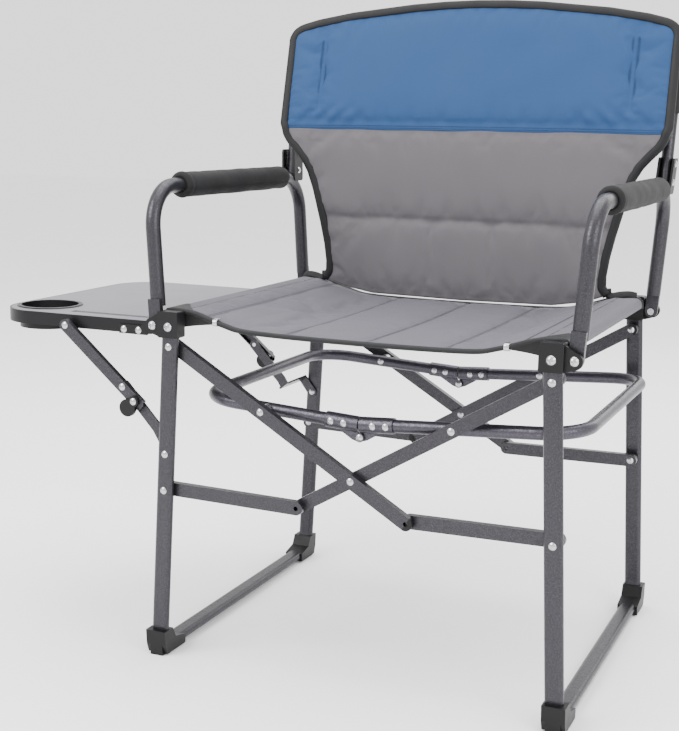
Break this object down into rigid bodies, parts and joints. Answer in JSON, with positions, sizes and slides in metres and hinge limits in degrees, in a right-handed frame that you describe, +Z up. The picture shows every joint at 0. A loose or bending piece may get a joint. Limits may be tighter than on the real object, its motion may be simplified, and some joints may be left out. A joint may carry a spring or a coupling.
{
  "type": "folding camp chair with side table",
  "caption": "Folding director-style camp chair with padded back, foam arm grips and a drop-down side table with cup holder.",
  "frame": {"origin": "on the floor, midway between the four feet", "axes": "+X to the viewer's right when facing the chair, +Y to the back, +Z up"},
  "size_m": [0.8676, 0.4982, 0.9039],
  "materials": {
    "frame": "hammered powder coat",
    "steel": "zinc plated",
    "black_plastic": "satin moulded",
    "foam": "closed-cell foam",
    "seat_cloth": "coated polyester weave",
    "back_grey": "padded polyester weave",
    "back_blue": "padded polyester weave",
    "table_panel": "fine satin"
  },
  "bodies": {
    "side_left": {"leg_frame_left": "frame", "foot_caps_left": "black_plastic", "bracket_left_front": "black_plastic", "bracket_left_rear": "black_plastic", "bracket_bolts_left": "steel", "seat_rail_left": "frame", "pivot_rivets_left": "steel", "seat_fabric": "seat_cloth"},
    "side_right": {"leg_frame_right": "frame", "foot_caps_right": "black_plastic", "bracket_right_front": "black_plastic", "bracket_right_rear": "black_plastic", "bracket_bolts_right": "steel", "seat_rail_right": "frame", "pivot_rivets_right": "steel", "pivot_spacers_right": "steel"},
    "scissor_a": {"bar_a_front": "frame", "bar_a_rear": "frame", "plugs_bar_a": "black_plastic", "cross_rivets_a": "steel"},
    "scissor_b": {"bar_b_front": "frame", "bar_b_rear": "frame", "plugs_bar_b": "black_plastic", "loop_studs_b": "steel"},
    "link_c": {"link_c_front": "frame", "link_c_rear": "frame"},
    "link_d": {"link_d_front": "frame", "link_d_rear": "frame"},
    "loop_left": {"loop_tube_left": "frame", "loop_sleeves_left": "frame", "loop_rivets_left": "steel"},
    "loop_right": {"loop_tube_right": "frame", "loop_sleeves_right": "frame", "loop_rivets_right": "steel"},
    "arms_left": {"arm_hoop_left": "frame", "grip_left": "foam", "back_post_left": "frame", "post_clamps_left": "black_plastic", "clamp_bolts_left": "steel", "back_lower": "back_grey", "back_upper": "back_blue"},
    "arms_right": {"arm_hoop_right": "frame", "grip_right": "foam", "back_post_right": "frame", "post_clamps_right": "black_plastic", "clamp_bolts_right": "steel"},
    "table": {"table_tray": "black_plastic", "table_top": "table_panel", "cup_ring": "black_plastic", "table_hinge_front": "frame", "table_hinge_rear": "frame", "table_rivets": "steel"},
    "brace_upper": {"brace_upper_front": "frame", "brace_upper_rear": "frame", "brace_rivets": "steel"},
    "brace_lower": {"brace_lower_front": "frame", "brace_lower_rear": "frame", "strut_studs": "steel"},
    "catch_front": {"catch_front": "black_plastic"},
    "catch_rear": {"catch_rear": "black_plastic"}
  },
  "joints": [
    {"name": "chair_fold", "type": "hinge", "parent": "side_left", "child": "scissor_a", "pos_m": [-0.25785, 0, 0.4324], "axis": [0, 1, 0], "range_deg": [0, 43.1], "deforming": ["seat_fabric", "back_lower", "back_upper"]},
    {"name": "scissor_cross", "type": "hinge", "parent": "scissor_a", "child": "scissor_b", "pos_m": [0, 0, 0.27808], "axis": [0, 1, 0], "range_deg": [-86.37, 0]},
    {"name": "right_side_pivot", "type": "hinge", "parent": "scissor_b", "child": "side_right", "pos_m": [0.25785, 0, 0.4324], "axis": [0, 1, 0], "range_deg": [0, 43.19]},
    {"name": "link_c_pivot", "type": "hinge", "parent": "side_left", "child": "link_c", "pos_m": [-0.26749, 0, 0.2354], "axis": [0, 1, 0], "range_deg": [0, 68.26]},
    {"name": "link_d_pivot", "type": "hinge", "parent": "side_right", "child": "link_d", "pos_m": [0.26749, 0, 0.2354], "axis": [0, 1, 0], "range_deg": [-68.26, 0]},
    {"name": "loop_left_pivot", "type": "hinge", "parent": "scissor_a", "child": "loop_left", "pos_m": [-0.12871, 0, 0.35511], "axis": [0, 1, 0], "range_deg": [-126.24, 0]},
    {"name": "loop_hinge", "type": "hinge", "parent": "loop_left", "child": "loop_right", "pos_m": [0, 0, 0.3295], "axis": [0, 1, 0], "range_deg": [0, 166.11]},
    {"name": "arm_left_pivot", "type": "hinge", "parent": "side_left", "child": "arms_left", "pos_m": [-0.2825, 0, 0.4595], "axis": [0, 1, 0], "range_deg": [0, 3.71]},
    {"name": "arm_right_pivot", "type": "hinge", "parent": "side_right", "child": "arms_right", "pos_m": [0.2825, 0, 0.4595], "axis": [0, 1, 0], "range_deg": [-3.71, 0]},
    {"name": "table_fold", "type": "hinge", "parent": "side_left", "child": "table", "pos_m": [-0.2825, 0, 0.4595], "axis": [0, -1, 0], "range_deg": [0, 80]},
    {"name": "brace_upper_pivot", "type": "hinge", "parent": "table", "child": "brace_upper", "pos_m": [-0.4242, 0, 0.4485], "axis": [0, -1, 0], "range_deg": [-151.63, 0]},
    {"name": "brace_lower_pivot", "type": "hinge", "parent": "side_left", "child": "brace_lower", "pos_m": [-0.26501, 0, 0.286], "axis": [0, -1, 0], "range_deg": [0, 97.46]},
    {"name": "catch_front_pivot", "type": "hinge", "parent": "brace_upper", "child": "catch_front", "pos_m": [-0.3132, 0, 0.35366], "axis": [0, 1, 0], "range_deg": [0, 20], "stiffness_Nm_per_rad": 0.05},
    {"name": "catch_rear_pivot", "type": "hinge", "parent": "brace_upper", "child": "catch_rear", "pos_m": [-0.3132, 0, 0.35366], "axis": [0, 1, 0], "range_deg": [0, 20], "stiffness_Nm_per_rad": 0.05}
  ],
  "couplings": [
    {"joint": "scissor_cross", "follows": "chair_fold", "ratio": -2},
    {"joint": "right_side_pivot", "follows": "chair_fold", "ratio": 1},
    {"joint": "link_c_pivot", "follows": "chair_fold", "ratio": 1.5807},
    {"joint": "link_d_pivot", "follows": "chair_fold", "ratio": -1.5807},
    {"joint": "loop_left_pivot", "follows": "chair_fold", "ratio": -2.9232},
    {"joint": "loop_hinge", "follows": "chair_fold", "ratio": 3.8464},
    {"joint": "arm_left_pivot", "follows": "chair_fold", "ratio": 0.085847},
    {"joint": "arm_right_pivot", "follows": "chair_fold", "ratio": -0.085847},
    {"joint": "brace_upper_pivot", "follows": "table_fold", "ratio": -1.8916},
    {"joint": "brace_lower_pivot", "follows": "table_fold", "ratio": 1.2159}
  ]
}
